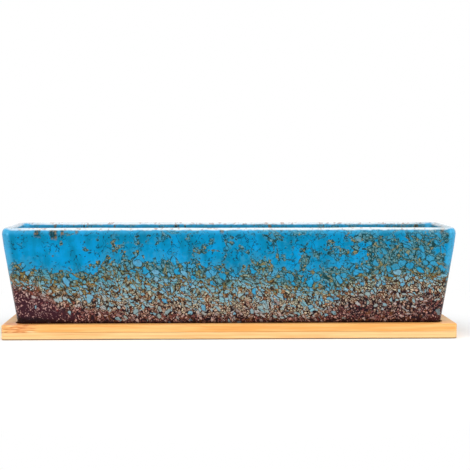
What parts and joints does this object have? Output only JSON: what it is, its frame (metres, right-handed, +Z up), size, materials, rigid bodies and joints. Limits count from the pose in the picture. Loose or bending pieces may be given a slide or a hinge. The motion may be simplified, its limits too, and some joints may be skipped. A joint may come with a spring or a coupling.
{
  "type": "rectangular ceramic planter",
  "caption": "Long shallow glazed stoneware trough with leaning walls, a rounded rim and drain holes, standing in the shallow recess of a laminated bamboo drip tray.",
  "frame": {"origin": "middle of the tray's flat underside", "axes": "+X along the length, to the right as the long front is seen; +Y away from the long front; +Z up"},
  "size_m": [0.36, 0.083, 0.0885],
  "materials": {
    "glazed_stoneware": "glossy reactive glaze, blue running down to speckled brown",
    "bamboo_upper": "sanded bamboo with a clear satin lacquer",
    "bamboo_lower": "sanded bamboo with a clear satin lacquer"
  },
  "bodies": {
    "tray": {"upper_strip_1": "bamboo_upper", "upper_strip_2": "bamboo_upper", "upper_strip_3": "bamboo_upper", "upper_strip_4": "bamboo_upper", "lower_strip_1": "bamboo_lower", "lower_strip_2": "bamboo_lower", "lower_strip_3": "bamboo_lower", "lower_strip_4": "bamboo_lower", "lower_strip_5": "bamboo_lower"},
    "pot": {"ceramic_pot": "glazed_stoneware"}
  },
  "joints": [
    {"name": "pot_lift", "type": "slide", "parent": "tray", "child": "pot", "axis": [0, 0, 1], "range_m": [0, 0.12]}
  ]
}
